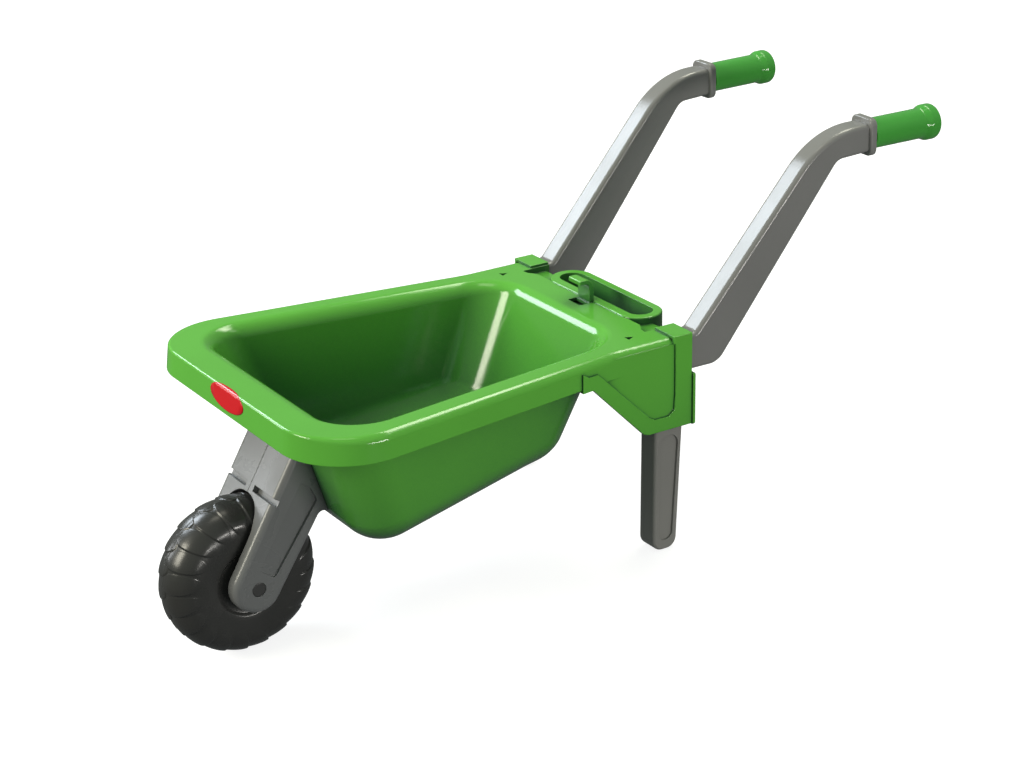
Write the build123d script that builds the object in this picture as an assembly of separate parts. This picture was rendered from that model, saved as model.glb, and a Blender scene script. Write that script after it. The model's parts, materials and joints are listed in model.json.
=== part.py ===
from build123d import *
import os
import math

# ------------------------------------------------------------------
# Moulded-plastic toy wheelbarrow: green tub with a deep rim, grey fork
# in two halves, blown wheel on a pin, two bent handles with slip-on
# grips and two legs held in sockets under the rear deck.
#
# The shapes are drawn with the rim level (the moulding datum), then the
# whole barrow is leaned back by the standing pitch, so that it rests on
# its wheel and its two feet.  +X right-hand side, -Y wheel end,
# +Y handles, +Z up, origin on the floor below the middle of the box.
# ------------------------------------------------------------------

# --- wheel, pin and bushes
WHEEL_R = 75.0          # outside radius of the tyre
WHEEL_Y = -173.4        # wheel centre, moulding frame
TYRE_HALF = 27.3        # half width of the tyre
TYRE_DEPTH = 28.0       # height of the rounded tread zone
TYRE_WALL = 2.6         # blown wall thickness
BUSH_OR = 8.0
BUSH_BORE_R = 4.08      # running bore on the pin
PIN_R = 4.0
PIN_HEAD_R = 6.8
HUB_R = 13.0
HUB_WELL_R = 30.0       # sunk hub well in each side of the wheel

# --- fork
FORK_LEAN = 30.5        # degrees from vertical
FORK_HALF = 44.5        # half width over the arms
ARM_IN = 32.0           # inside face of an arm
FORK_FRONT = 25.0       # front face, from the wheel centre
FORK_TOP = 152.0        # top of the yoke blank along the lean

# --- tub
RIM_Z = 255.0           # top of rim and deck
SKIRT = 24.0            # depth of the rim skirt
SKIRT_FLARE = 2.2       # the skirt's lower edge stands out at the wheel end
EDGE_R = 8.0            # top outer edge of the rim
WALL = 3.0
RIM_FRONT_Y = -172.0
RIM_FRONT_X = 178.1     # where the tapered sides reach the front line
RIM_REAR_X = 133.2
KINK_Y = 157.0
DECK_REAR_Y = 216.0
RIM_CORNER_R = 65.0
FLAT_W = 26.0           # flat width of the rim
FLARE_R = 16.0          # lead-in radius from rim to wall
CHANNEL_R = 18.0        # same lead-in on the underside
FRONT_AT = -99.68       # front wall, outside, at Z 134.1
FLOOR_AT = 116.35       # floor, outside, at Y -34
CORNER_FRONT = 42.0     # outside radii of the trough
CORNER_REAR = 43.0
FLOOR_R = 38.0
FRONT_SLOPE = 0.308
REAR_SLOPE = 0.477
SIDE_DRAFT = 0.163
FLOOR_SLOPE = 0.1637
TAPER = 0.1357          # plan taper of the sides

# --- rear sockets
SOCK_IN = 103.4         # inside wall of a leg socket
SOCK_FRONT = 196.0
SOCK_REAR = 240.3
SOCK_Z0 = 166.0
BAND = 1.8              # height of the raised stiffening band
STRAP_TOP = 257.4
STUB_Y = 220.0          # front end of the handle stub in its socket

# --- handles, grips, legs
MEM_X0 = 107.0          # inside face of handle and leg
MEM_X1 = 131.0          # outside face of handle and leg
SPLAY = 1.45            # degrees, handles open towards the grips
GRIP_R = 14.7
GRIP_BULB_R = 17.3
GRIP_Z = 407.7
GRIP_Y0 = 452.3
GRIP_Y1 = 532.0
GRIP_X = 119.0
SPIGOT_R = 11.0
LEG_BOTTOM = 40.5
FOOT_R = 11.0


def box(x0, x1, y0, y1, z0, z1):
    return Pos((x0 + x1) / 2, (y0 + y1) / 2, (z0 + z1) / 2) * Box(x1 - x0, y1 - y0, z1 - z0)


def yz_prism(pts, x0, x1, radii=None):
    """Prism of a YZ polygon between two X planes; radii rounds corners."""
    pl = Plane(origin=(x0, 0, 0), x_dir=(0, 1, 0), z_dir=(1, 0, 0))
    w = Polyline([(p[0], p[1]) for p in pts], close=True)
    f = make_face(w)
    if radii:
        for i, r in radii.items():
            p = pts[i]
            v = min(f.vertices(), key=lambda q: (q.X - p[0]) ** 2 + (q.Y - p[1]) ** 2)
            f = fillet(v, r)
    sk = pl * f
    return extrude(sk, amount=x1 - x0)


def xy_prism(face, z0, z1):
    return extrude(Pos(0, 0, z0) * face, amount=z1 - z0)


def cyl_x(y, z, r, x0, x1):
    return Pos((x0 + x1) / 2, y, z) * Rot(0, 90, 0) * Cylinder(r, x1 - x0)


def cyl_y(x, z, r, y0, y1):
    return Pos(x, (y0 + y1) / 2, z) * Rot(90, 0, 0) * Cylinder(r, y1 - y0)


def cyl_z(x, y, r, z0, z1):
    return Pos(x, y, (z0 + z1) / 2) * Cylinder(r, z1 - z0)


def keep(solid, point, normal):
    """Keep the part of a solid behind a plane (normal points outward)."""
    return split(solid, bisect_by=Plane(origin=point, z_dir=normal), keep=Keep.BOTTOM)


def mirror_x(s):
    return mirror(s, about=Plane.YZ)


def solid_of(s):
    sol = s.solids()
    return max(sol, key=lambda q: q.volume) if len(sol) > 1 else sol[0]


def near_edges(s, test):
    return [e for e in s.edges() if test(e)]


# ------------------------------------------------------------------ tub
def rim_face(off=0.0, rear=DECK_REAR_Y, flare=0.0):
    xf = RIM_FRONT_X - off * math.sqrt(1 + TAPER ** 2) - TAPER * off + flare
    xr = RIM_REAR_X - off
    yf = RIM_FRONT_Y + off - flare
    pts = [(-xf, yf), (xf, yf), (xr, KINK_Y), (xr, rear - off), (-xr, rear - off), (-xr, KINK_Y)]
    f = make_face(Polyline(pts, close=True))
    front = [v for v in f.vertices() if v.Y < yf + 1]
    f = fillet(front, RIM_CORNER_R - off)
    kink = [v for v in f.vertices() if abs(v.Y - KINK_Y) < 1]
    f = fillet(kink, 120)
    return f


def tub_body(off=0.0, top=300.0):
    """Convex trough: four drafted walls and a floor that rises to the rear."""
    s = box(-260, 260, -300, 320, 0, top)
    zr = 247.0
    # side walls
    n = math.sqrt(1 + TAPER ** 2 + SIDE_DRAFT ** 2)
    x_at = 132.0
    for sg in (1, -1):
        s = keep(s, (sg * (x_at - off * n), -60, zr), (sg * 1, TAPER, -SIDE_DRAFT))
    # front wall
    nf = math.sqrt(1 + FRONT_SLOPE ** 2)
    s = keep(s, (0, FRONT_AT - FRONT_SLOPE * (zr - 134.1) + off * nf, zr), (0, -1, -FRONT_SLOPE))
    # rear wall
    nr = math.sqrt(1 + REAR_SLOPE ** 2)
    s = keep(s, (0, 179.0 - off * nr, zr), (0, 1, -REAR_SLOPE))
    # floor
    nb = math.sqrt(1 + FLOOR_SLOPE ** 2)
    s = keep(s, (0, -34, FLOOR_AT + off * nb), (0, FLOOR_SLOPE, -1))
    s = solid_of(s)
    # the four corner edges, then the floor edge
    def corner(e):
        a, b = e.start_point(), e.end_point()
        return abs(a.Z - b.Z) > 60
    ce = near_edges(s, corner)
    fr = [e for e in ce if e.center().Y < 0]
    rr = [e for e in ce if e.center().Y > 0]
    s = fillet(fr, CORNER_FRONT - off)
    rr = [e for e in near_edges(s, corner) if e.center().Y > 60 and e.geom_type == GeomType.LINE]
    rr = [e for e in rr if abs(e.center().X) > 60]
    s = fillet(rr, CORNER_REAR - off)
    lower = [f for f in s.faces() if f.normal_at().Z < -0.9]
    floor = max(lower, key=lambda q: q.area)
    s = fillet(floor.edges(), FLOOR_R - off)
    return solid_of(s)


def obround(hx, y0, y1, z0, z1):
    r = (y1 - y0) / 2
    f = RectangleRounded(2 * hx, y1 - y0, r - 0.01)
    return xy_prism(Pos(0, (y0 + y1) / 2, 0) * f, z0, z1)


def make_tub():
    outer = tub_body(0.0)
    inner = tub_body(WALL, top=320.0)
    rim = loft([Pos(0, 0, RIM_Z - SKIRT) * rim_face(flare=SKIRT_FLARE), Pos(0, 0, RIM_Z) * rim_face()], ruled=True)
    top_edges = rim.faces().sort_by(Axis.Z)[-1].edges()
    rim = fillet([e for e in top_edges if e.center().Y < DECK_REAR_Y - 1], EDGE_R)
    body = keep(outer, (0, 0, RIM_Z - 1), (0, 0, 1))
    # channel under the rim
    chan = xy_prism(rim_face(WALL), RIM_Z - SKIRT - 5, RIM_Z - WALL)
    chan = chan - outer
    chan = solid_of(chan)
    topf = chan.faces().sort_by(Axis.Z)[-1]
    try:
        inner_wire = topf.inner_wires()[0]
        chan = fillet(inner_wire.edges(), CHANNEL_R)
    except Exception as ex:
        print("channel fillet skipped:", ex)
    tub = rim + body
    tub = tub - chan
    tub = tub - inner
    tub = solid_of(tub)
    # lead-in radius round the mouth
    mouth = [e for e in tub.edges()
             if abs(e.center().Z - RIM_Z) < 0.05 and abs(e.start_point().Z - RIM_Z) < 0.05
             and e.center().Y > RIM_FRONT_Y + 12 and e.center().Y < 190
             and abs(e.center().X) < 150 - 0.0 * e.center().Y]
    mouth = [e for e in mouth if inside_mouth(e)]
    try:
        tub = fillet(mouth, FLARE_R)
    except Exception as ex:
        print("mouth fillet retry:", ex)
        tub = fillet(mouth, 5.0)
    tub = solid_of(tub)

    # ---- carry ring behind the deck
    ring = obround(78, 214.5, 258.5, 237.5, 256.4)
    ring = fillet(ring.faces().sort_by(Axis.Z)[-1].edges(), 1.6)
    ring_core = obround(75, 217.5, 255.5, 230, 253.6) - obround(66 + 5.8, 221.2, 252.3, 229, 254)
    hole = obround(69, 224.0, 249.5, 200, 270)
    # ---- shelf between ring and sockets, and the rear face below the deck
    shelf = box(-SOCK_IN - 1, SOCK_IN + 1, 208, 236, 246.5, 249.5)
    rear_web = box(-SOCK_IN - 1, SOCK_IN + 1, DECK_REAR_Y - 3, DECK_REAR_Y, 234, RIM_Z)
    shelf_lip = box(-SOCK_IN - 1, SOCK_IN + 1, 233.2, 236, 238, 249.5)
    rear = shelf + rear_web + shelf_lip
    # ---- hook over a cored hole
    hook_pts = [(211, 253), (211, 274.3), (200.5, 274.3), (200.5, 278.6), (216.2, 278.6), (216.2, 253)]
    hook = yz_prism(hook_pts, -10, 10, {4: 9.0, 1: 4.5, 3: 1.5})
    hook = fillet([e for e in hook.edges() if abs(abs(e.center().X) - 10) < 0.1 and e.center().Z > 256], 0.8)
    # ---- sockets
    def side(sg):
        # outer panel with the V edge under it
        p = [(112.5, 250), (112.5, 228.2), (126.4, 228.2), (185.2, 168.2), (191.0, SOCK_Z0), (SOCK_REAR, SOCK_Z0), (SOCK_REAR, 250)]
        panel = yz_prism(p, RIM_REAR_X - WALL, RIM_REAR_X, {2: 5.0, 3: 6.0})
        block = box(SOCK_IN, RIM_REAR_X, SOCK_FRONT, SOCK_REAR, SOCK_Z0, RIM_Z)
        block = fillet([e for e in block.edges() if e.center().X > RIM_REAR_X - 0.1 and e.center().Z > RIM_Z - 0.1
                        and abs(e.center().Y - (SOCK_FRONT + SOCK_REAR) / 2) < 1], EDGE_R)
        strap = box(SOCK_IN + 1.5, RIM_REAR_X + BAND, 219.5, SOCK_REAR, 250, STRAP_TOP)
        band_out = [(113.6, 246.5), (113.6, 228.0), (126.2, 228.0), (185.2, 168.0), (191.0, SOCK_Z0), (SOCK_REAR, SOCK_Z0),
                    (SOCK_REAR, STRAP_TOP), (219.5, STRAP_TOP)]
        band_in = [(219.8, 184.5), (213.5, 179.8), (198.0, 180.0), (192.2, 183.3), (137.2, 236.6), (131.5, 241.8), (121.0, 242.1)]
        band = yz_prism(band_out + [(221.0, 250), (221.0, 200)] + band_in, RIM_REAR_X - 0.5, RIM_REAR_X + BAND)
        # ahead of the kink the band lies on the flared skirt and ends in a step
        skirt_x = RIM_FRONT_X - TAPER * (113.6 - RIM_FRONT_Y)
        lap = make_face(Polyline([(RIM_REAR_X - 0.5, KINK_Y), (RIM_REAR_X - 0.5, 113.6), (skirt_x + 1.7, 113.6), (RIM_REAR_X + BAND, KINK_Y)], close=True))
        toe = yz_prism(band_out + [(221.0, 250), (221.0, 200)] + band_in, RIM_REAR_X - 0.5, RIM_REAR_X + 12) & xy_prism(lap, 160, 250)
        frame_ = solid_of(strap + band)
        face_ = frame_.faces().sort_by(Axis.X)[-1]
        try:
            frame_ = fillet(face_.edges(), 0.8)
        except Exception as ex:
            print("band edge left sharp:", ex)
        s_ = panel + block + frame_ + toe
        if sg < 0:
            s_ = mirror_x(s_)
        return s_
    tub = tub + ring + rear + side(1) + side(-1)
    tub = tub - ring_core - hole
    tub = tub + hook
    # clear the trough again where the added pieces reached into it
    tub = tub - keep(inner, (0, 0, 247), (0, 0, 1))

    def side_cut(sg):
        # leg pocket, open below; handle pocket, open to the rear
        c = box(MEM_X0 - 0.6, MEM_X1 + 0.3, 199.0, 236.2, SOCK_Z0 - 5, 217.2)
        c = c + box(MEM_X0 - 0.9, MEM_X1 + 0.6, STUB_Y - 0.5, SOCK_REAR + 8, 217.8, 254.8)
        # rear mouth of the leg socket, closed by the cover
        c = c + box(MEM_X0 - 0.6, MEM_X1 + 0.3, 230, SOCK_REAR + 8, SOCK_Z0 + 3.0, 217.3)
        # moulding core hole and arrow notch in the deck
        tri = Polyline([(103.5, 185.5), (111.0, 185.5), (107.2, 193.0)], close=True)
        c = c + xy_prism(make_face(tri), 240, 262)
        # the deck corner is rounded off down to the shelf
        pk = Polyline([(76.0, 217.6), (84.0, 216.6), (91.0, 213.4), (95.7, 209.8), (103.3, 209.0), (103.3, 222), (76.0, 222)], close=True)
        pf = make_face(pk)
        pf = fillet(min(pf.vertices(), key=lambda q: (q.X - 95.7) ** 2 + (q.Y - 209.8) ** 2), 4.0)
        c = c + (xy_prism(pf, 249.5, 262) - obround(78, 214.5, 258.5, 230, 270))
        if sg < 0:
            c = mirror_x(c)
        return c
    tub = tub - side_cut(1) - side_cut(-1)
    tub = tub - box(-10, 10, 199.7, 209.4, 246, 262)
    return tub


def inside_mouth(e):
    c = e.center()
    lim = RIM_FRONT_X - TAPER * (c.Y - RIM_FRONT_Y) - 20
    return abs(c.X) < lim


# ------------------------------------------------------------------ fork
PH = math.radians(FORK_LEAN)


def uv(u, v):
    """Point at distance u up the fork and v forward of it, in YZ."""
    return (WHEEL_Y + u * math.sin(PH) - v * math.cos(PH), WHEEL_R + u * math.cos(PH) + v * math.sin(PH))


def uv_plane(x0):
    return Plane(origin=(x0, WHEEL_Y, WHEEL_R),
                 x_dir=(0, math.sin(PH), math.cos(PH)), z_dir=(1, 0, 0))
# in that plane the second axis points back-to-front reversed: y = -v


def uv_prism(pts, x0, x1, radii=None):
    w = Polyline([(p[0], p[1]) for p in pts], close=True)
    f = make_face(w)
    if radii:
        for i, r in radii.items():
            p = pts[i]
            v = min(f.vertices(), key=lambda q: (q.X - p[0]) ** 2 + (q.Y - p[1]) ** 2)
            f = fillet(v, r)
    pl = uv_plane(x0)
    return extrude(pl * f, amount=x1 - x0)


def sv(v):
    return V_SIGN * v


# second plane axis = z_dir x x_dir; work out its sense once
_yd = uv_plane(0).y_dir
V_SIGN = 1.0 if (_yd.Y * (-math.cos(PH)) + _yd.Z * math.sin(PH)) > 0 else -1.0


def make_fork(sg):
    # side blank with a round lower end
    r = 23.6
    pts = [(-r, -r), (-r, FORK_FRONT), (FORK_TOP, FORK_FRONT), (FORK_TOP, -50), (86, -40), (86, -28)]
    pts = [(u, sv(v)) for u, v in pts]
    blank = uv_prism(pts, 0, FORK_HALF, {0: r - 0.6, 1: r, 5: 6.0})
    # rounded outer edge
    outer = [f for f in blank.faces() if f.normal_at().X > 0.9][0]
    blank = fillet(outer.edges(), 6.0)
    # back is cut to the slope of the tub front wall
    nf = math.sqrt(1 + FRONT_SLOPE ** 2)
    blank = keep(blank, (0, FRONT_AT - FRONT_SLOPE * (200 - 134.1) - 0.15, 200), (0, 1, FRONT_SLOPE))
    blank = solid_of(blank)
    # wheel arch between the arms
    arch = Pos(0, 0, 0) * Ellipse(ARM_IN, 33)
    pl = Plane(origin=(0, uv(38.5, 60)[0], uv(38.5, 60)[1]),
               x_dir=(1, 0, 0), z_dir=(0, math.cos(PH), -math.sin(PH)))
    tool = extrude(pl * arch, amount=150)
    u0 = uv_prism([(-60, sv(-60)), (-60, sv(60)), (38.5, sv(60)), (38.5, sv(-60))], -ARM_IN, ARM_IN)
    blank = blank - tool - u0
    blank = solid_of(blank)
    # swept clearance for the tyre under the yoke
    cp = tyre_points(TYRE_HALF + 2.5, WHEEL_R + 2.5, TYRE_DEPTH + 2.5)
    cc = Curve() + [Spline([(q[0], q[1]) for q in cp], tangents=[(0, 1), (0, -1)]),
                    Polyline([cp[-1], (cp[-1][0], 0), (cp[0][0], 0), cp[0]])]
    clear = revolve(Plane(origin=(0, WHEEL_Y, WHEEL_R), x_dir=(1, 0, 0), z_dir=(0, -1, 0)) * make_face(cc),
                    axis=Axis((0, WHEEL_Y, WHEEL_R), (1, 0, 0)))
    blank = blank - clear
    blank = solid_of(blank)
    # side panel recess: deep along its rear edge, running out at the front
    rec = uv_prism([(14.5, sv(-10.5)), (16.5, sv(8)), (104, sv(6)), (102, sv(-6)), (94, sv(-18))],
                   FORK_HALF - 3.0, FORK_HALF + 5, {0: 3.5, 4: 4.0})
    ramp_pl_pt = uv(60, 8)
    # tilt: remove only what lies behind the ramp
    rec = keep(rec, (FORK_HALF + 0.05, ramp_pl_pt[0], ramp_pl_pt[1]),
               (-1, -0.12 * math.cos(PH), 0.12 * math.sin(PH)))
    blank = blank - rec
    # parting groove down the middle of the front face
    blank = blank - uv_prism([(60, sv(FORK_FRONT - 0.4)), (60, sv(40)), (FORK_TOP + 5, sv(40)), (FORK_TOP + 5, sv(FORK_FRONT - 0.4))], -1, 0.3)
    # clip slot across the front face
    slot = uv_prism([(76.6, sv(19)), (76.6, sv(40)), (82.6, sv(40)), (82.6, sv(19))], 7.0, 60)
    blank = blank - slot
    blank = solid_of(blank)
    tongue = Pos(31.0, uv(79.8, 21.8)[0], uv(79.8, 21.8)[1]) * Rot(0, 90, 0) * Cylinder(2.4, 29)
    tongue = fillet(tongue.edges(), 1.2)
    blank = blank + tongue
    # lightening core inside the yoke, open on the split face
    core = uv_prism([(84, sv(-22)), (84, sv(16)), (128, sv(16)), (128, sv(2)), (112, sv(-14)), (100, sv(-22))], -1, FORK_HALF - 12, None)
    nfp = (0, FRONT_AT - FRONT_SLOPE * (200 - 134.1) - 6.0, 200)
    core = keep(core, nfp, (0, 1, FRONT_SLOPE))
    boss1 = cyl_x(*uv(94, 2), 5.0, -1, FORK_HALF)
    blank = blank - (core - boss1)
    blank = solid_of(blank)
    # pin seat: bore through the arm and a counterbore for the head
    blank = blank - cyl_x(WHEEL_Y, WHEEL_R, PIN_R + 0.05, 20, 60)
    blank = blank - cyl_x(WHEEL_Y, WHEEL_R, PIN_HEAD_R + 0.1, FORK_HALF - 3.0, 60)
    return blank


# ------------------------------------------------------------------ wheel
def tyre_points(scale_w, r_out, depth, n=24, r_in=None):
    pts = []
    for i in range(n + 1):
        t = -math.pi / 2 + math.pi * i / n
        x = math.copysign(abs(math.sin(t)) ** (2 / 2.3), math.sin(t)) * scale_w
        rr = r_out - depth + depth * abs(math.cos(t)) ** (2 / 2.3)
        pts.append((x, rr))
    return pts


def make_wheel():
    # outside: tyre curve, dished side, hub
    tp = tyre_points(TYRE_HALF, WHEEL_R, TYRE_DEPTH)
    sec = []
    curve = Spline([(p[0], p[1]) for p in tp], tangents=[(0, 1), (0, -1)])
    x1 = TYRE_HALF
    right = [(x1, tp[-1][1]), (x1 - 0.2, HUB_WELL_R + 2.2), (x1 - 2.4, HUB_WELL_R), (x1 - 2.4, HUB_R + 3), (x1, HUB_R + 1), (x1, BUSH_OR)]
    left = [(-x, r) for x, r in reversed(right)]
    line = Polyline(right + left)
    face = make_face(Curve() + [curve, line])
    pl = Plane(origin=(0, WHEEL_Y, WHEEL_R), x_dir=(1, 0, 0), z_dir=(0, -1, 0))
    ax = Axis((0, WHEEL_Y, WHEEL_R), (1, 0, 0))
    solid = revolve(pl * face, axis=ax)
    # blown cavity
    ti = tyre_points(TYRE_HALF - TYRE_WALL, WHEEL_R - TYRE_WALL, TYRE_DEPTH - TYRE_WALL)
    ci = Spline([(p[0], p[1]) for p in ti], tangents=[(0, 1), (0, -1)])
    xi = TYRE_HALF - TYRE_WALL
    r2 = [(xi, ti[-1][1]), (xi - 2.0, 42.0), (xi - 2.0, BUSH_OR + 3.2)]
    l2 = [(-x, r) for x, r in reversed(r2)]
    cav = revolve(pl * make_face(Curve() + [ci, Polyline(r2 + l2)]), axis=ax)
    return solid - cav


# ------------------------------------------------------------------ handle
def make_handle():
    pts = [(STUB_Y, 218.4), (274.3, 218.4), (409.5, 391.8), (445.0, 393.4), (445.0, 420.6), (393.5, 420.6),
           (248.1, 254.4), (STUB_Y, 254.4)]
    h = yz_prism(pts, MEM_X0, MEM_X1, {1: 20.0, 2: 14.0, 5: 90.0, 6: 5.0})
    long_edges = []
    for f in h.faces():
        if abs(f.normal_at().X) > 0.99:
            for e in f.edges():
                c = e.center()
                if c.Y > STUB_Y + 1 and c.Y < 444.5:
                    long_edges.append(e)
    h = fillet(long_edges, 4.2)
    cx = (MEM_X0 + MEM_X1) / 2
    collar = Pos(cx, 448.2, GRIP_Z) * Rot(90, 0, 0) * extrude(RectangleRounded(31.0, 36.4, 7.0), amount=7.4 / 2, both=True)
    collar = fillet(collar.edges().filter_by(lambda e: True), 1.6)
    spigot = cyl_y(cx, GRIP_Z, SPIGOT_R, 446, GRIP_Y1 - 6)
    h = h + collar + spigot
    # stub pulled into the socket
    h = splay(h)
    return solid_of(h)


def splay(s):
    return Pos(119.0, 226.0, 0) * Rot(0, 0, -SPLAY) * Pos(-119.0, -226.0, 0) * s


def make_grip():
    cx = GRIP_X
    prof = [(SPIGOT_R + 0.05, GRIP_Y0), (GRIP_R + 0.4, GRIP_Y0), (GRIP_R + 0.4, GRIP_Y0 + 2.0), (GRIP_R, GRIP_Y0 + 3.5),
            (GRIP_R, GRIP_Y1 - 18.0), (GRIP_BULB_R, GRIP_Y1 - 12.5), (GRIP_BULB_R, GRIP_Y1 - 3.0), (GRIP_BULB_R - 4.5, GRIP_Y1),
            (0, GRIP_Y1), (0, GRIP_Y1 - 5.5), (SPIGOT_R + 0.05, GRIP_Y1 - 5.5)]
    f = make_face(Polyline([(a, b) for a, b in prof], close=True))
    for r, y, rad in ((GRIP_BULB_R, GRIP_Y1 - 3.0, 4.0), (GRIP_BULB_R - 4.5, GRIP_Y1, 2.0), (GRIP_R, GRIP_Y1 - 18.0, 5.0),
                      (GRIP_BULB_R, GRIP_Y1 - 12.5, 4.0)):
        v = min(f.vertices(), key=lambda q: (q.X - r) ** 2 + (q.Y - y) ** 2)
        f = fillet(v, rad)
    pl = Plane(origin=(cx, 0, GRIP_Z), x_dir=(1, 0, 0), z_dir=(0, 0, 1))
    s = revolve(pl * f, axis=Axis((cx, 0, GRIP_Z), (0, 1, 0)))
    return splay(s)


# ------------------------------------------------------------------ leg
def make_leg():
    pts = [(201.6, 214.5), (199.6, LEG_BOTTOM), (226.6, LEG_BOTTOM), (235.6, 214.5)]
    s = yz_prism(pts, MEM_X0, MEM_X1, {1: FOOT_R, 2: FOOT_R})
    edges = []
    for f in s.faces():
        if abs(f.normal_at().X) > 0.99:
            edges += [e for e in f.edges() if e.center().Z < 213]
    s = fillet(edges, 3.2)
    # long obround recess on the outer side
    rec = yz_prism([(206.4, 158.5), (205.2, 51.0), (221.0, 51.0), (228.0, 158.5)], MEM_X1 - 2.2, MEM_X1 + 5,
                   {0: 10.0, 1: 7.5, 2: 7.5, 3: 10.0})
    s = s - rec
    return solid_of(s)


# ------------------------------------------------------------------ rear cover
def make_cover():
    # closes the back of a leg socket; its edge stands proud of the band
    s = box(SOCK_IN - 0.5, RIM_REAR_X + BAND + 1.6, SOCK_REAR + 0.05, 243.8, SOCK_Z0 - 0.6, 217.0)
    s = fillet(s.edges().filter_by(Axis.Y), 2.0)
    s = fillet(s.faces().sort_by(Axis.Y)[-1].edges(), 1.2)
    # pad that bears on the leg
    pad = box(MEM_X0 + 2, MEM_X1 - 2, 236.0, SOCK_REAR + 1, 172.0, 213.0)
    return solid_of(s + pad)


def screw(head_r, head_h, shank_r, length):
    """Pan-head screw, head at the origin top, shank along -Z."""
    h = Pos(0, 0, head_h / 2) * Cylinder(head_r, head_h)
    h = fillet(h.faces().sort_by(Axis.Z)[-1].edges(), min(0.9, head_h * 0.6))
    k = Pos(0, 0, head_h) * (Box(0.9, head_r * 1.1, 1.6) + Box(head_r * 1.1, 0.9, 1.6))
    s = Pos(0, 0, -length / 2) * Cylinder(shank_r, length)
    tip = Pos(0, 0, -length - 1.2) * Cone(0.4, shank_r, 2.4)
    return (h - k) + s + tip


# ------------------------------------------------------------------ small parts
def wheel_bush(sg):
    b = cyl_x(WHEEL_Y, WHEEL_R, BUSH_OR, 12.0, TYRE_HALF) + cyl_x(WHEEL_Y, WHEEL_R, 11.5, TYRE_HALF, TYRE_HALF + 1.5)
    b = b - cyl_x(WHEEL_Y, WHEEL_R, BUSH_BORE_R, 0, 40)
    b = solid_of(b)
    return b if sg > 0 else mirror_x(b)


def thrust_washers():
    w = cyl_x(WHEEL_Y, WHEEL_R, 11.0, TYRE_HALF + 1.8, ARM_IN) - cyl_x(WHEEL_Y, WHEEL_R, PIN_R + 0.05, 20, 40)
    w = solid_of(w)
    return Compound(children=[w, mirror_x(w)])


def axle_pin():
    head = cyl_x(WHEEL_Y, WHEEL_R, PIN_HEAD_R, FORK_HALF - 3.0, FORK_HALF - 0.2)
    head = fillet(head.faces().sort_by(Axis.X)[-1].edges(), 0.8)
    shaft = cyl_x(WHEEL_Y, WHEEL_R, PIN_R, -FORK_HALF + 1.6, FORK_HALF - 3.0)
    shaft = chamfer(shaft.faces().sort_by(Axis.X)[0].edges(), 0.8)
    return solid_of(head + shaft)


def axle_cap():
    c = cyl_x(WHEEL_Y, WHEEL_R, PIN_HEAD_R, -FORK_HALF + 0.2, -FORK_HALF + 3.0)
    c = fillet(c.faces().sort_by(Axis.X)[0].edges(), 0.8)
    c = c - cyl_x(WHEEL_Y, WHEEL_R, PIN_R + 0.05, -FORK_HALF + 1.5, 0)
    return solid_of(c)


def aim(s, pos, direction):
    """Put a screw drawn along +Z (head up) at pos with its head towards direction."""
    pl = Plane(origin=pos, z_dir=direction)
    return pl.location * s


MOUNT_Z = 178.0
MOUNT_X = 20.0


def mount_pos(off):
    nf = math.sqrt(1 + FRONT_SLOPE ** 2)
    return FRONT_AT - FRONT_SLOPE * (MOUNT_Z - 134.1) + off * nf


def fork_mount_screws():
    out = []
    for x in (-MOUNT_X, MOUNT_X):
        out.append(aim(screw(4.2, 2.4, 2.0, 8.6), (x, mount_pos(WALL), MOUNT_Z), (0, 1, FRONT_SLOPE)))
    return Compound(children=[solid_of(s) for s in out])


FORK_SCREW_UV = [(94.0, 2.0), (118.0, 8.0)]


def fork_screws():
    out = []
    for (u, v), x in zip(FORK_SCREW_UV, (-FORK_HALF + 5.0, -FORK_HALF + 5.0)):
        y, z = uv(u, v)
        out.append(aim(screw(3.6, 2.2, 1.8, 52.0), (x, y, z), (-1, 0, 0)))
    return Compound(children=[solid_of(s) for s in out])


HANDLE_SCREW_YZ = [(226.0, 228.0), (228.6, 242.0)]
LEG_SCREW_Z = [180.0, 204.0]


def handle_screws(sg):
    out = []
    for y, z in HANDLE_SCREW_YZ:
        out.append(aim(screw(3.6, 2.2, 1.8, 14.0), (SOCK_IN, y, z), (-1, 0, 0)))
    c = [solid_of(s) for s in out]
    if sg < 0:
        c = [mirror_x(s) for s in c]
    return Compound(children=c)


def leg_screws(sg):
    out = []
    for z in LEG_SCREW_Z:
        out.append(aim(screw(3.6, 2.2, 1.8, 18.0), ((MEM_X0 + MEM_X1) / 2, 243.8, z), (0, 1, 0)))
    c = [solid_of(s) for s in out]
    if sg < 0:
        c = [mirror_x(s) for s in c]
    return Compound(children=c)


def front_label():
    t = 0.45
    k = SKIRT_FLARE / SKIRT
    w = math.sqrt(1 + k * k)
    def prof(d, r):
        p = [(RIM_FRONT_Y - k * (RIM_Z - 226) - d * w, 226), (RIM_FRONT_Y + k * d - d * w, RIM_Z + d), (-150, RIM_Z + d), (-150, 226)]
        return yz_prism(p, -40, 40, {1: r})
    shell = prof(t, EDGE_R + t) - prof(0.02, EDGE_R + 0.02)
    a = math.radians(40)
    e = (0, math.sin(a), math.cos(a))
    d = (0, math.cos(a), -math.sin(a))
    pl = Plane(origin=(0, e[1] * 77.35 - d[1] * 330, e[2] * 77.35 - d[2] * 330), x_dir=(1, 0, 0), z_dir=d)
    punch = extrude(pl * Ellipse(31.0, 10.45), amount=420)
    return solid_of(shell & punch)


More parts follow.
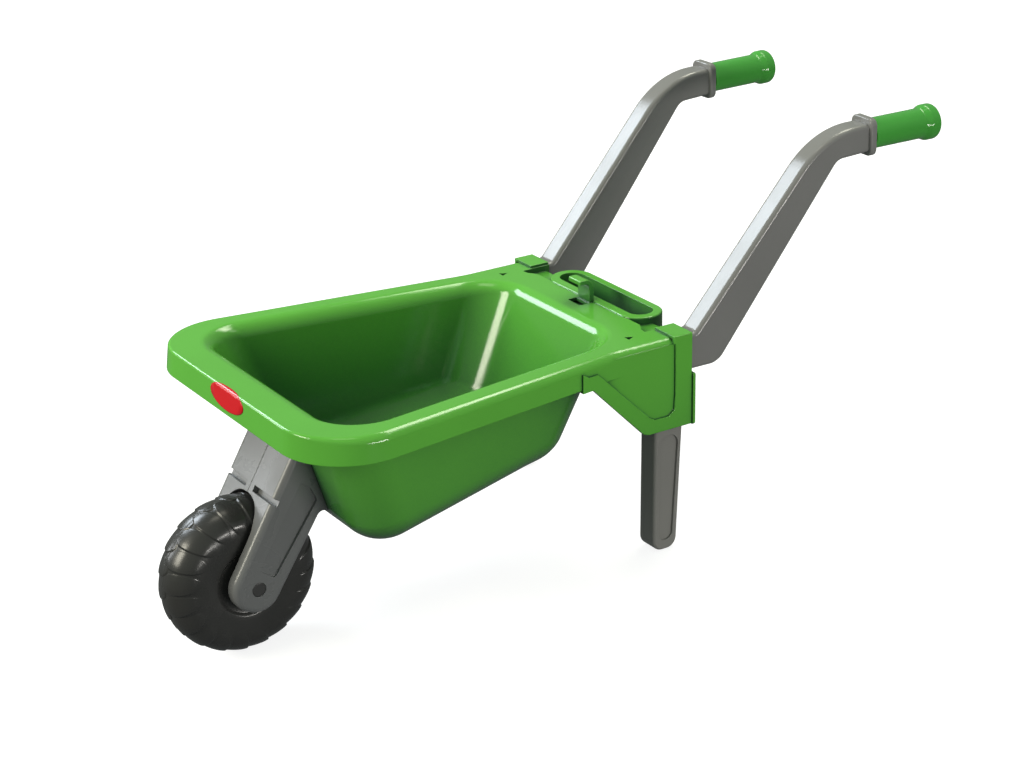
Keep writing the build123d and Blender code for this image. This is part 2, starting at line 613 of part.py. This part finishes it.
# ------------------------------------------------------------------ assembly
def build():
    p = {}
    tub = make_tub()
    fr = make_fork(1)
    boss2 = cyl_x(*uv(*FORK_SCREW_UV[1]), 5.0, 0, FORK_HALF - 8)
    fr = fr + boss2
    fr = solid_of(fr)
    fl = mirror_x(fr)
    # screw holes
    for (u, v) in FORK_SCREW_UV:
        y, z = uv(u, v)
        fr = fr - cyl_x(y, z, 1.8, -1, -FORK_HALF + 5.0 + 52.0 + 26.0)
        fl = fl - cyl_x(y, z, 2.0, -60, 1) - cyl_x(y, z, 4.2, -60, -FORK_HALF + 5.0)
    for x in (-MOUNT_X, MOUNT_X):
        nf = (0, 1, FRONT_SLOPE)
        shank = aim(Pos(0, 0, -6) * Cylinder(2.0, 12), (x, mount_pos(WALL), MOUNT_Z), nf)
        shank_t = aim(Pos(0, 0, 0) * Cylinder(2.2, 12), (x, mount_pos(WALL), MOUNT_Z), nf)
        tub = tub - shank_t
        if x > 0:
            fr = fr - shank
        else:
            fl = fl - shank
    for y, z in HANDLE_SCREW_YZ:
        for sg in (1, -1):
            tub = tub - cyl_x(y, z, 2.0, min(sg * 90, sg * 108), max(sg * 90, sg * 108))
    p["tub"] = solid_of(tub)
    p["fork_right"] = solid_of(fr)
    p["fork_left"] = solid_of(fl)
    p["fork_screws"] = fork_screws()
    p["fork_mount_screws"] = fork_mount_screws()
    p["wheel"] = make_wheel()
    p["wheel_bush_right"] = wheel_bush(1)
    p["wheel_bush_left"] = wheel_bush(-1)
    p["thrust_washers"] = thrust_washers()
    p["axle_pin"] = axle_pin()
    p["axle_cap"] = axle_cap()
    h = make_handle()
    for y, z in HANDLE_SCREW_YZ:
        h = h - cyl_x(y, z, 1.8, 90, SOCK_IN + 16.4)
    h = solid_of(h)
    p["handle_right"] = h
    p["handle_left"] = mirror_x(h)
    g = make_grip()
    p["grip_right"] = g
    p["grip_left"] = mirror_x(g)
    lg = make_leg()
    cv = make_cover()
    for z in LEG_SCREW_Z:
        lg = lg - cyl_y((MEM_X0 + MEM_X1) / 2, z, 1.8, 243.8 - 20.4, 260)
        cv = cv - cyl_y((MEM_X0 + MEM_X1) / 2, z, 2.0, 200, 260)
    p["leg_right"] = solid_of(lg)
    p["leg_left"] = mirror_x(solid_of(lg))
    p["socket_cover_right"] = solid_of(cv)
    p["socket_cover_left"] = mirror_x(solid_of(cv))
    p["handle_screws_right"] = handle_screws(1)
    p["handle_screws_left"] = handle_screws(-1)
    p["leg_screws_right"] = leg_screws(1)
    p["leg_screws_left"] = leg_screws(-1)
    p["front_label"] = front_label()
    return p


# standing pitch: the floor touches the tyre and the heel radius of the feet
FOOT_C = (216.154, LEG_BOTTOM + FOOT_R)


def standing():
    lo, hi = 0.0, 0.3
    f = lambda a: ((-math.sin(a) * WHEEL_Y + math.cos(a) * WHEEL_R - WHEEL_R)
                   - (-math.sin(a) * FOOT_C[0] + math.cos(a) * FOOT_C[1] - FOOT_R))
    for _ in range(60):
        m = (lo + hi) / 2
        if f(lo) * f(m) <= 0:
            hi = m
        else:
            lo = m
    a = (lo + hi) / 2
    drop = -math.sin(a) * WHEEL_Y + math.cos(a) * WHEEL_R - WHEEL_R
    return a, drop


PITCH, DROP = standing()


def place(s, mid=0.0):
    return Pos(0, -mid, -DROP) * Rot(-math.degrees(PITCH), 0, 0) * s


def at(y, z, mid=0.0):
    c, s = math.cos(PITCH), math.sin(PITCH)
    return (y * c + z * s - mid, -y * s + z * c - DROP)


def main():
    os.makedirs("parts", exist_ok=True)
    parts = build()
    placed = {k: place(v) for k, v in parts.items()}
    y0 = min(v.bounding_box().min.Y for v in placed.values())
    y1 = max(v.bounding_box().max.Y for v in placed.values())
    mid = (y0 + y1) / 2
    z0 = min(v.bounding_box().min.Z for v in placed.values())
    z1 = max(v.bounding_box().max.Z for v in placed.values())
    print("pitch deg", math.degrees(PITCH), "drop", DROP, "mid", mid, "z", z0, z1)
    print("wheel centre", at(WHEEL_Y, WHEEL_R, mid))
    for k, v in parts.items():
        s = Pos(0, -mid, 0) * placed[k]
        export_step(s, os.path.join("parts", k + ".step"))


if __name__ == "__main__":
    main()
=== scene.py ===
import json
import math

import bmesh
import bpy
import numpy as np
from mathutils import Matrix, Vector, noise

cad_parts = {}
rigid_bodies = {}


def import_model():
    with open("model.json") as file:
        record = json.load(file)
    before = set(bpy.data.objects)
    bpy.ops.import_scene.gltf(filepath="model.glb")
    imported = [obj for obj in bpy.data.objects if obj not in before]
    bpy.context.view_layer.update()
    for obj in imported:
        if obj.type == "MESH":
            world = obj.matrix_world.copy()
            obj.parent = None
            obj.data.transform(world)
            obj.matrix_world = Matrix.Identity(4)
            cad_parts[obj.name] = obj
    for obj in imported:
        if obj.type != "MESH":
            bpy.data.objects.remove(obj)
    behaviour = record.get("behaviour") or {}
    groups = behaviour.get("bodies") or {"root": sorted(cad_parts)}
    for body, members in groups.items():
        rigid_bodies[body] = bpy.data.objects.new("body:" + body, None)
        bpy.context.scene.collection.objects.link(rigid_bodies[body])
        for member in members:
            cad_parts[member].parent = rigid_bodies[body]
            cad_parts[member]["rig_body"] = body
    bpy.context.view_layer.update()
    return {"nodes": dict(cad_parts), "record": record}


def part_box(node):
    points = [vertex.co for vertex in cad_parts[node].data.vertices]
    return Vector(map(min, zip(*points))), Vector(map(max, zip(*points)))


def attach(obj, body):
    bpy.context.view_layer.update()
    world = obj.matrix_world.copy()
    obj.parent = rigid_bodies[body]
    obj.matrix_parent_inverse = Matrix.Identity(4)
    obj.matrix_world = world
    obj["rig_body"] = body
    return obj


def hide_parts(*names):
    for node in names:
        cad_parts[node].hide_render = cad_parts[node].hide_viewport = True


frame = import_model()
scene = bpy.context.scene
MM = 0.001

# ---------------------------------------------------------------- frames
# Shapes are drawn with the rim level, in millimetres, then leaned back.
PITCH = math.radians(5.986494219505809)
CP, SP = math.cos(PITCH), math.sin(PITCH)
WHEEL_Y, WHEEL_R = -173.4, 75.0
_w0, _w1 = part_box("wheel")
_wc = (_w0 + _w1) / 2
MID = WHEEL_Y * CP + WHEEL_R * SP - _wc.y / MM
DROP = -WHEEL_Y * SP + WHEEL_R * CP - _wc.z / MM


def F(p):
    """Drawing frame in mm to row frame in metres."""
    x, y, z = p
    return Vector((x, y * CP + z * SP - MID, -y * SP + z * CP - DROP)) * MM


def Fa(a):
    a = np.asarray(a, float)
    out = np.empty_like(a)
    out[:, 0] = a[:, 0]
    out[:, 1] = a[:, 1] * CP + a[:, 2] * SP - MID
    out[:, 2] = -a[:, 1] * SP + a[:, 2] * CP - DROP
    return out * MM


def turn(v):
    x, y, z = v
    return Vector((x, y * CP + z * SP, -y * SP + z * CP))


# ---------------------------------------------------------------- camera
def make_camera():
    a, e, r = math.radians(57.496), math.radians(22.358), math.radians(-1.142)
    dist, f_px = 2303.799, 2414.469
    back = Vector((math.sin(a) * math.cos(e), -math.cos(a) * math.cos(e), math.sin(e)))
    fwd = -back
    right = fwd.cross(Vector((0, 0, 1))).normalized()
    up = right.cross(fwd)
    rr = math.cos(r) * right + math.sin(r) * up
    uu = -math.sin(r) * right + math.cos(r) * up
    tgt = Vector((0, 127.504, 187.603))
    pos = F(tgt + dist * back)
    rr, uu, bb = turn(rr), turn(uu), turn(back)
    m = Matrix(((rr.x, uu.x, bb.x, pos.x), (rr.y, uu.y, bb.y, pos.y), (rr.z, uu.z, bb.z, pos.z), (0, 0, 0, 1)))
    cam = bpy.data.objects.new("camera", bpy.data.cameras.new("camera"))
    scene.collection.objects.link(cam)
    cam.matrix_world = m
    cam.data.sensor_fit = "HORIZONTAL"
    cam.data.sensor_width = 36.0
    cam.data.lens = f_px * 36.0 / 1024
    cam.data.clip_start = 0.1
    cam.data.clip_end = 30
    scene.camera = cam
    return cam


camera = make_camera()


# ---------------------------------------------------------------- materials
def new_mat(name):
    m = bpy.data.materials.new(name)
    m.use_nodes = True
    nt = m.node_tree
    bsdf = nt.nodes["Principled BSDF"]
    return m, nt, bsdf


def plastic(name, base, rough, var=0.06, spec=0.5, bump_scale=900.0, bump=0.02, coat=0.0, wear=0.04, rough_var=0.06, sss=0.0, edge=0.0008, painted_shade_color=None):
    m, nt, b = new_mat(name)
    N, L = nt.nodes.new, nt.links.new
    tc = N("ShaderNodeTexCoord")
    big = N("ShaderNodeTexNoise")
    big.inputs["Scale"].default_value = 9.0
    big.inputs["Detail"].default_value = 3.0
    L(tc.outputs["Object"], big.inputs["Vector"])
    ramp = N("ShaderNodeValToRGB")
    c0 = [c * (1 - var) for c in base]
    c1 = [min(1.0, c * (1 + var)) for c in base]
    ramp.color_ramp.elements[0].position = 0.3
    ramp.color_ramp.elements[0].color = (*c0, 1)
    ramp.color_ramp.elements[1].position = 0.7
    ramp.color_ramp.elements[1].color = (*c1, 1)
    L(big.outputs["Fac"], ramp.inputs["Fac"])
    if painted_shade_color:
        # painted shade: the base colour is mixed towards a darker, cooler green where ambient occlusion finds walls
        # closing in on each other, so shade is painted into the tub's inside
        ao = N("ShaderNodeAmbientOcclusion")
        ao.samples = 8
        ao.inputs["Distance"].default_value = 0.20
        am = N("ShaderNodeMapRange")
        am.inputs["From Min"].default_value = 0.48
        am.inputs["From Max"].default_value = 0.95
        L(ao.outputs["AO"], am.inputs["Value"])
        mix = N("ShaderNodeMix")
        mix.data_type = "RGBA"
        mix.inputs["A"].default_value = (*painted_shade_color, 1)
        L(am.outputs["Result"], mix.inputs["Factor"])
        L(ramp.outputs["Color"], mix.inputs["B"])
        L(mix.outputs["Result"], b.inputs["Base Color"])
    else:
        L(ramp.outputs["Color"], b.inputs["Base Color"])
    # handling marks: broad soft smears in the gloss, and fine short scuffs
    smear = N("ShaderNodeTexNoise")
    smear.inputs["Scale"].default_value = 26.0
    smear.inputs["Detail"].default_value = 5.0
    smear.inputs["Distortion"].default_value = 0.6
    L(tc.outputs["Object"], smear.inputs["Vector"])
    mr = N("ShaderNodeMapRange")
    mr.inputs["From Min"].default_value = 0.35
    mr.inputs["From Max"].default_value = 0.7
    mr.inputs["To Min"].default_value = max(0.02, rough - rough_var * 0.5)
    mr.inputs["To Max"].default_value = rough + rough_var
    L(smear.outputs["Fac"], mr.inputs["Value"])
    L(mr.outputs["Result"], b.inputs["Roughness"])
    # moulded skin: very fine pebble and a slow sink waviness
    fine = N("ShaderNodeTexNoise")
    fine.inputs["Scale"].default_value = bump_scale
    fine.inputs["Detail"].default_value = 2.0
    L(tc.outputs["Object"], fine.inputs["Vector"])
    slow = N("ShaderNodeTexNoise")
    slow.inputs["Scale"].default_value = 22.0
    slow.inputs["Detail"].default_value = 1.0
    L(tc.outputs["Object"], slow.inputs["Vector"])
    b1 = N("ShaderNodeBump")
    b1.inputs["Strength"].default_value = 0.10
    b1.inputs["Distance"].default_value = 0.0006
    L(slow.outputs["Fac"], b1.inputs["Height"])
    if edge:
        # the small radius that every moulded edge has
        bv = N("ShaderNodeBevel")
        bv.samples = 4
        bv.inputs["Radius"].default_value = edge
        L(bv.outputs["Normal"], b1.inputs["Normal"])
    b2 = N("ShaderNodeBump")
    b2.inputs["Strength"].default_value = bump
    b2.inputs["Distance"].default_value = 0.0002
    L(fine.outputs["Fac"], b2.inputs["Height"])
    L(b1.outputs["Normal"], b2.inputs["Normal"])
    L(b2.outputs["Normal"], b.inputs["Normal"])
    b.inputs["Specular IOR Level"].default_value = spec
    b.inputs["IOR"].default_value = 1.5
    if coat:
        b.inputs["Coat Weight"].default_value = coat
        b.inputs["Coat Roughness"].default_value = 0.06
    if sss:
        b.inputs["Subsurface Weight"].default_value = sss
        b.inputs["Subsurface Radius"].default_value = (0.002, 0.004, 0.001)
    return m


MAT = {
    # the tub's colour carries painted shade: a darker, cooler green wherever ambient occlusion finds walls close
    # together
    "tub": plastic("green_gloss", (0.110, 0.43, 0.046), 0.13, var=0.03, rough_var=0.04, painted_shade_color=(0.027, 0.112, 0.034)),
    "grip": plastic("green_grip", (0.058, 0.35, 0.045), 0.11, var=0.03, rough_var=0.04),
    "fork": plastic("grey_fork", (0.155, 0.159, 0.162), 0.28, var=0.04),
    "handle": plastic("grey_handle", (0.205, 0.204, 0.20), 0.20, var=0.04),
    "leg": plastic("grey_leg", (0.22, 0.217, 0.205), 0.30, var=0.05),
    "wheel": plastic("black_wheel", (0.032, 0.032, 0.031), 0.24, var=0.15, rough_var=0.08, edge=0),
    "bush": plastic("acetal", (0.72, 0.72, 0.68), 0.4),
    "pin": plastic("pin_dark", (0.04, 0.04, 0.04), 0.35),
    "screws": plastic("zinc", (0.55, 0.56, 0.58), 0.35),
    "label": plastic("label_red", (0.62, 0.008, 0.012), 0.18, var=0.02),
}
MAT["screws"].node_tree.nodes["Principled BSDF"].inputs["Metallic"].default_value = 1.0
slot_of = {s["node"]: s["material_slot"] for s in frame["record"]["subparts"]}
for name, ob in frame["nodes"].items():
    mat = MAT[slot_of[name]]
    ob.data.materials.clear()
    ob.data.materials.append(mat)

# ---------------------------------------------------------------- helpers
def to_draw(co):
    """Row frame metres to drawing frame mm, rows of points."""
    p = np.asarray(co, float) / MM
    y = p[:, 1] + MID
    z = p[:, 2] + DROP
    out = np.empty_like(p)
    out[:, 0] = p[:, 0]
    out[:, 1] = y * CP - z * SP
    out[:, 2] = y * SP + z * CP
    return out


def mesh_object(name, verts, faces, mat, body, node=None, smooth=True):
    me = bpy.data.meshes.new(name)
    me.from_pydata([tuple(v) for v in verts], [], [tuple(int(i) for i in f) for f in faces])
    me.validate()
    me.update()
    if smooth:
        me.polygons.foreach_set("use_smooth", [True] * len(me.polygons))
    ob = bpy.data.objects.new(name, me)
    scene.collection.objects.link(ob)
    me.materials.append(mat)
    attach(ob, body)
    if node:
        for n in ([node] if isinstance(node, str) else node):
            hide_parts(n)
    return ob


# ---------------------------------------------------------------- rim outline
RIM_Z, RIM_FRONT_Y, RIM_FRONT_X, RIM_REAR_X, KINK_Y, TAPER = 255.0, -172.0, 178.1, 133.2, 157.0, 0.1357
CAD_EDGE_R, FRONT_EDGE_R = 8.0, 2.4


def rim_outline():
    """Half outline (x > 0) from the middle of the front to the deck: points, and each point's share of the front's
    crisp edge.
    """
    pts, wt = [], []
    ang = math.atan(TAPER)
    # front corner arc R65 between the front line and the tapered side
    R = 65.0
    turn_a = math.pi / 2 + ang
    # side line: x = RIM_FRONT_X - TAPER * (y - RIM_FRONT_Y)
    cy = RIM_FRONT_Y + R
    cx = RIM_FRONT_X - TAPER * (cy - RIM_FRONT_Y) - R * math.sqrt(1 + TAPER ** 2)
    for x in np.linspace(0, cx, 60, endpoint=False):
        pts.append((x, RIM_FRONT_Y)); wt.append(1.0)
    for t in np.linspace(0, 1, 160, endpoint=False):
        a = -math.pi / 2 + t * (math.pi / 2 + ang)
        pts.append((cx + R * math.cos(a), cy + R * math.sin(a)))
        wt.append(1.0 - t)
    y0 = pts[-1][1]
    for y in np.linspace(y0 + 0.3, KINK_Y, 500, endpoint=False):
        pts.append((RIM_FRONT_X - TAPER * (y - RIM_FRONT_Y), y)); wt.append(0.0)
    for y in np.linspace(KINK_Y, 262, 200):
        pts.append((RIM_REAR_X, y)); wt.append(0.0)
    return np.array(pts), np.array(wt)


OUT_P, OUT_W = rim_outline()


def crisp_front(co):
    """Tightens the rim's top edge along the front and eases it into the broad edge of the sides."""
    q = to_draw(co)
    ax = np.abs(q[:, 0])
    depth = RIM_Z - q[:, 2]
    cand = np.where((depth < 9.2) & (depth > -0.5) & (q[:, 1] < 20) & (ax + np.abs(q[:, 1]) * 0 < 190))[0]
    if not len(cand):
        return co
    P = np.stack([ax[cand], q[cand, 1]], 1)
    best = np.full(len(cand), 1e9)
    idx = np.zeros(len(cand), int)
    for k in range(0, len(OUT_P), 4000):
        d = ((P[:, None, :] - OUT_P[None, k:k + 4000, :]) ** 2).sum(-1)
        j = d.argmin(1)
        m = d[np.arange(len(P)), j]
        up = m < best
        best[up], idx[up] = m[up], j[up] + k
    dist = np.sqrt(best)
    near = (dist < 9.4)
    E = OUT_P[idx]
    # exact foot on the front line keeps long front strips straight
    onf = OUT_W[idx] >= 0.999
    E[onf] = np.stack([P[onf, 0], np.full(onf.sum(), RIM_FRONT_Y)], 1)
    w = OUT_W[idx]
    w = w * w * (3 - 2 * w)
    r = CAD_EDGE_R + (FRONT_EDGE_R - CAD_EDGE_R) * w
    f = (r / CAD_EDGE_R)[:, None]
    newP = E + (P - E) * f
    newZ = RIM_Z - depth[cand] * f[:, 0]
    sel = near & (w > 1e-4)
    c = cand[sel]
    sg = np.sign(q[c, 0])
    q[c, 0] = newP[sel, 0] * np.where(sg == 0, 1, sg)
    q[c, 1] = newP[sel, 1]
    q[c, 2] = newZ[sel]
    return Fa(q)


def copy_node(node, name, mat, deform=None):
    """A piece with the node's own surface, welded and reshaped."""
    src = frame["nodes"][node]
    me = src.data.copy()
    me.name = name
    bm = bmesh.new()
    bm.from_mesh(me)
    bmesh.ops.remove_doubles(bm, verts=bm.verts, dist=2e-6)
    co = np.array([v.co for v in bm.verts], float)
    if deform is not None:
        co = deform(co)
        for v, c in zip(bm.verts, co):
            v.co = c
    bmesh.ops.dissolve_degenerate(bm, dist=1e-6, edges=bm.edges)
    bm.normal_update()
    for f in bm.faces:
        f.smooth = True
    for e in bm.edges:
        if len(e.link_faces) == 2:
            e.smooth = e.calc_face_angle(0.0) < math.radians(24)
    bm.to_mesh(me)
    bm.free()
    try:
        me.normals_split_custom_set([(0, 0, 0)] * len(me.loops))
        bpy.context.view_layer.update()
    except Exception:
        pass
    for a in list(me.attributes):
        if a.name == "custom_normal":
            me.attributes.remove(a)
    me.materials.clear()
    me.materials.append(mat)
    ob = bpy.data.objects.new(name, me)
    scene.collection.objects.link(ob)
    body = frame["nodes"][node].get("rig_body", "frame")
    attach(ob, body)
    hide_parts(node)
    wn = ob.modifiers.new("weighted", "WEIGHTED_NORMAL")
    wn.keep_sharp = True
    wn.weight = 60
    return ob


tub = copy_node("tub", "tub_shell", MAT["tub"], crisp_front)


def build_label():
    """An oval film laid over the front of the rim: across x, and along the skin from the flat top down the front."""
    k = 2.2 / 24.0
    r = FRONT_EDGE_R
    cx, sc, ax, bs = 2.5, 9.95, 32.0, 11.45
    quarter = r * math.pi / 2

    def skin(x, s, off):
        if s < 0:
            return (x, RIM_FRONT_Y + r - s, RIM_Z + off)
        if s < quarter:
            t = s / r
            return (x, RIM_FRONT_Y + r - (r + off) * math.sin(t) - k * (1 - math.cos(t)) * r, RIM_Z - r + (r + off) * math.cos(t))
        d = r + (s - quarter)
        return (x, RIM_FRONT_Y - k * d - off, RIM_Z - d)
    nr, na = 28, 144
    V, Q = [], []

    def layer(off, shrink):
        base = len(V)
        V.append(skin(cx, sc, off))
        for i in range(1, nr + 1):
            q = i / nr
            o = off if i < nr else off * 0.4
            for j in range(na):
                a = 2 * math.pi * j / na
                V.append(skin(cx + (ax - shrink) * q * math.cos(a), sc - (bs - shrink) * q * math.sin(a), o))
        for j in range(na):
            Q.append((base, base + 1 + j, base + 1 + (j + 1) % na))
        for i in range(1, nr):
            p0, p1 = base + 1 + (i - 1) * na, base + 1 + i * na
            for j in range(na):
                Q.append((p0 + j, p1 + j, p1 + (j + 1) % na, p0 + (j + 1) % na))
        return base + 1 + (nr - 1) * na
    e0 = layer(0.30, 0.0)
    V2 = len(V)
    ring = []
    for j in range(na):
        a = 2 * math.pi * j / na
        V.append(skin(cx + ax * math.cos(a), sc - bs * math.sin(a), 0.0))
        ring.append(V2 + j)
    for j in range(na):
        Q.append((e0 + j, ring[j], ring[(j + 1) % na], e0 + (j + 1) % na))
    Q.append(tuple(reversed(ring)))
    ob = mesh_object("label_oval", Fa(V), Q, MAT["label"], "frame", "front_label")
    bm = bmesh.new()
    bm.from_mesh(ob.data)
    bmesh.ops.triangulate(bm, faces=[f for f in bm.faces if len(f.verts) > 4])
    bmesh.ops.recalc_face_normals(bm, faces=bm.faces)
    bm.to_mesh(ob.data)
    bm.free()
    ob.data.polygons.foreach_set("use_smooth", [True] * len(ob.data.polygons))
    return ob


label = build_label()


# ---------------------------------------------------------------- wheel
def tyre_curve(n, half, r_out, depth):
    t = np.linspace(-math.pi / 2, math.pi / 2, n)
    x = np.sign(np.sin(t)) * np.abs(np.sin(t)) ** (2 / 2.3) * half
    r = r_out - depth + depth * np.abs(np.cos(t)) ** (2 / 2.3)
    return x, r


def smooth(a, b, v):
    t = np.clip((v - a) / (b - a), 0, 1)
    return t * t * (3 - 2 * t)


LUGS, LUG_H = 20, 1.7


def lug_height(phi, s, side):
    """Petal-shaped lugs in two staggered rows; s runs from the tread's middle towards the sidewall."""
    pitch = 2 * math.pi / LUGS
    off = 0.0 if side > 0 else 0.5
    a = ((phi / pitch + off) % 1.0 - 0.5) * pitch * 75.0      # arc from the lug's middle, mm
    # petals lean back as they reach the sidewall
    a = a + 0.16 * np.maximum(s - 6, 0)
    a = (a + pitch * 37.5) % (pitch * 75.0) - pitch * 37.5
    c, L, W = 19.0, 24.0, 11.4
    u = (s - c) / L
    wloc = W * np.sqrt(np.clip(1 - np.abs(u) ** 2.2, 0, 1))
    d = (wloc - np.abs(a))                                      # depth inside the petal edge, mm
    tip = (L - np.abs(s - c))
    d = np.minimum(d, tip)
    rise = smooth(0.0, 1.3, d)
    ramp = 0.55 + 0.45 * np.clip(a / W, -1, 1)                  # shingle: one flank stands higher
    crown = 0.80 + 0.20 * smooth(0, 8, d)
    fade = 1 - smooth(30, 42, s)
    return LUG_H * rise * ramp * crown * fade


def build_wheel():
    n_phi, n_t = 720, 150
    base_r = WHEEL_R - LUG_H
    x, r = tyre_curve(4001, 27.3, base_r, 28.0 - LUG_H)
    seg = np.sqrt(np.diff(x) ** 2 + np.diff(r) ** 2)
    arc = np.concatenate([[0], np.cumsum(seg)])
    want = np.linspace(0, arc[-1], n_t)
    tx, tr = np.interp(want, arc, x), np.interp(want, arc, r)
    s = np.abs(want - arc[-1] / 2)
    # outward normals of the section
    dx, dr = np.gradient(tx), np.gradient(tr)
    ln = np.sqrt(dx ** 2 + dr ** 2)
    nx, nr = -dr / ln * -1, dx / ln
    nx, nr = -dr / ln, dx / ln
    flip = np.sign((nr * (tr - 46) + nx * tx).sum())
    nx, nr = nx * flip, nr * flip
    h = 27.3
    side = [(h, 44.5), (h - 0.05, 38.0), (h - 0.2, 33.4), (h - 0.5, 32.2), (h - 1.9, 30.6), (h - 2.4, 29.8), (h - 2.4, 24.0),
            (h - 2.4, 17.2), (h - 2.1, 16.2), (h - 0.4, 14.6), (h, 13.8), (h, 8.6), (h - 0.4, 8.0), (0.6 * h, 8.0), (0.2 * h, 8.0)]
    prof = [(-a, b) for a, b in reversed(side)]
    n0 = len(prof)
    prof += list(zip(tx, tr))
    n1 = len(prof)
    prof += side
    prof = np.array(prof)
    m = len(prof)
    phi = np.linspace(0, 2 * math.pi, n_phi, endpoint=False)
    X = np.repeat(prof[None, :, 0], n_phi, 0)
    Rr = np.repeat(prof[None, :, 1], n_phi, 0)
    PH, S = np.meshgrid(phi, s, indexing="ij")
    sd = np.sign(tx)[None, :] * np.ones_like(PH)
    hh = np.maximum(lug_height(PH, S * 1.0, 1) * (sd >= 0), lug_height(PH, S * 1.0, -1) * (sd < 0))
    # each row reaches a little over the middle
    over = lug_height(PH, -S, 1) * (sd < 0) + lug_height(PH, -S, -1) * (sd >= 0)
    hh = np.maximum(hh, over)
    X[:, n0:n1] += hh * nx[None, :]
    Rr[:, n0:n1] += hh * nr[None, :]
    X[:, n0:n1] = np.clip(X[:, n0:n1], -27.3, 27.3)
    # moulding line round the middle of the tread
    line = 0.25 * np.exp(-((want - arc[-1] / 2) / 0.5) ** 2)
    Rr[:, n0:n1] = np.minimum(Rr[:, n0:n1] + line[None, :], WHEEL_R)
    Y = WHEEL_Y + Rr * np.cos(phi)[:, None]
    Z = WHEEL_R + Rr * np.sin(phi)[:, None]
    V = Fa(np.stack([X, Y, Z], -1).reshape(-1, 3))
    i = np.arange(n_phi)[:, None]
    j = np.arange(m)[None, :]
    i2 = (i + 1) % n_phi
    j2 = (j + 1) % m
    q = np.stack([i * m + j, i * m + j2 + 0 * i, i2 * m + j2, i2 * m + j], -1).reshape(-1, 4)
    q = q[:, ::-1]
    ob = mesh_object("wheel_tyre", V, q, MAT["wheel"], "wheel", "wheel")
    bm = bmesh.new()
    bm.from_mesh(ob.data)
    bmesh.ops.recalc_face_normals(bm, faces=bm.faces)
    bm.to_mesh(ob.data)
    bm.free()
    ob.data.polygons.foreach_set("use_smooth", [True] * len(ob.data.polygons))
    return ob


wheel = build_wheel()

# ---------------------------------------------------------------- stage
def build_stage():
    bm = bmesh.new()
    s = 8.0
    n = 24
    rows = []
    for k in range(n + 1):
        y = -s + 2 * s * k / n
        rows.append([bm.verts.new((x, y, 0.0)) for x in np.linspace(-s, s, n + 1)])
    for a in range(n):
        for b in range(n):
            bm.faces.new((rows[a][b], rows[a][b + 1], rows[a + 1][b + 1], rows[a + 1][b]))
    me = bpy.data.meshes.new("floor")
    bm.to_mesh(me)
    bm.free()
    ob = bpy.data.objects.new("floor", me)
    scene.collection.objects.link(ob)
    m, nt, b = new_mat("floor_white")
    b.inputs["Base Color"].default_value = (0.9, 0.9, 0.9, 1)
    b.inputs["Roughness"].default_value = 0.85
    b.inputs["Specular IOR Level"].default_value = 0.0
    b.inputs["Base Color"].default_value = (0.35, 0.35, 0.35, 1)
    b.inputs["Emission Color"].default_value = (1, 1, 1, 1)
    b.inputs["Emission Strength"].default_value = 0.86
    me.materials.append(m)
    ob.visible_diffuse = False
    ob.visible_glossy = False


build_stage()


def area_light(name, loc, target, size, power, size_y=None, color=(1, 1, 1)):
    d = bpy.data.lights.new(name, "AREA")
    d.shape = "RECTANGLE"
    d.size = size
    d.size_y = size_y or size
    d.energy = power
    d.color = color
    ob = bpy.data.objects.new(name, d)
    scene.collection.objects.link(ob)
    ob.location = loc
    ob.rotation_euler = (Vector(target) - Vector(loc)).to_track_quat("-Z", "Y").to_euler()
    return ob


w = bpy.data.worlds.new("world")
scene.world = w
w.use_nodes = True
nt = w.node_tree
bg = nt.nodes["Background"]
tc = nt.nodes.new("ShaderNodeTexCoord")
sep = nt.nodes.new("ShaderNodeSeparateXYZ")
rmp = nt.nodes.new("ShaderNodeValToRGB")
nt.links.new(tc.outputs["Generated"], sep.inputs[0])
mp = nt.nodes.new("ShaderNodeMapRange")
mp.inputs["From Min"].default_value = -1.0
nt.links.new(sep.outputs["Z"], mp.inputs["Value"])
nt.links.new(mp.outputs["Result"], rmp.inputs["Fac"])
rmp.color_ramp.elements[0].position = 0.40
rmp.color_ramp.elements[0].color = (0.13, 0.14, 0.14, 1)
rmp.color_ramp.elements[1].position = 0.75
rmp.color_ramp.elements[1].color = (0.36, 0.40, 0.36, 1)
nt.links.new(rmp.outputs["Color"], bg.inputs["Color"])
bg.inputs["Strength"].default_value = 1.0
area_light("key", (-0.55, -2.6, 1.75), (0, 0, 0.18), 1.2, 64, color=(1.0, 0.95, 0.80))
area_light("top", (-0.2, 0.1, 3.2), (0, 0, 0.2), 0.9, 7, color=(1.0, 0.95, 0.80))
area_light("low_side", (2.6, 0.5, 0.10), (0, 0.05, 0.22), 1.3, 30, size_y=0.25, color=(1.0, 0.97, 0.92))
area_light("front_left_box", (-1.84, -0.68, 1.58), (0.10, 0.19, 0.35), 0.86, 28, size_y=0.86, color=(0.84, 0.92, 1.0))
area_light("over_box", (0.15, 1.20, 1.85), (0, 0.05, 0.2), 1.5, 3.2, size_y=0.22, color=(1.0, 1.0, 0.86))
area_light("rim_box", (-0.50, 1.215, 1.85), (-0.50, 1.215, 0.0), 1.2, 18, size_y=0.57, color=(1.0, 0.99, 0.82))
area_light("wheel_strip", (-0.72, -0.87, 0.38), (0, -0.34, 0.11), 0.17, 1.2, size_y=0.30, color=(0.95, 0.97, 1.0))
scene.view_settings.view_transform = "Standard"
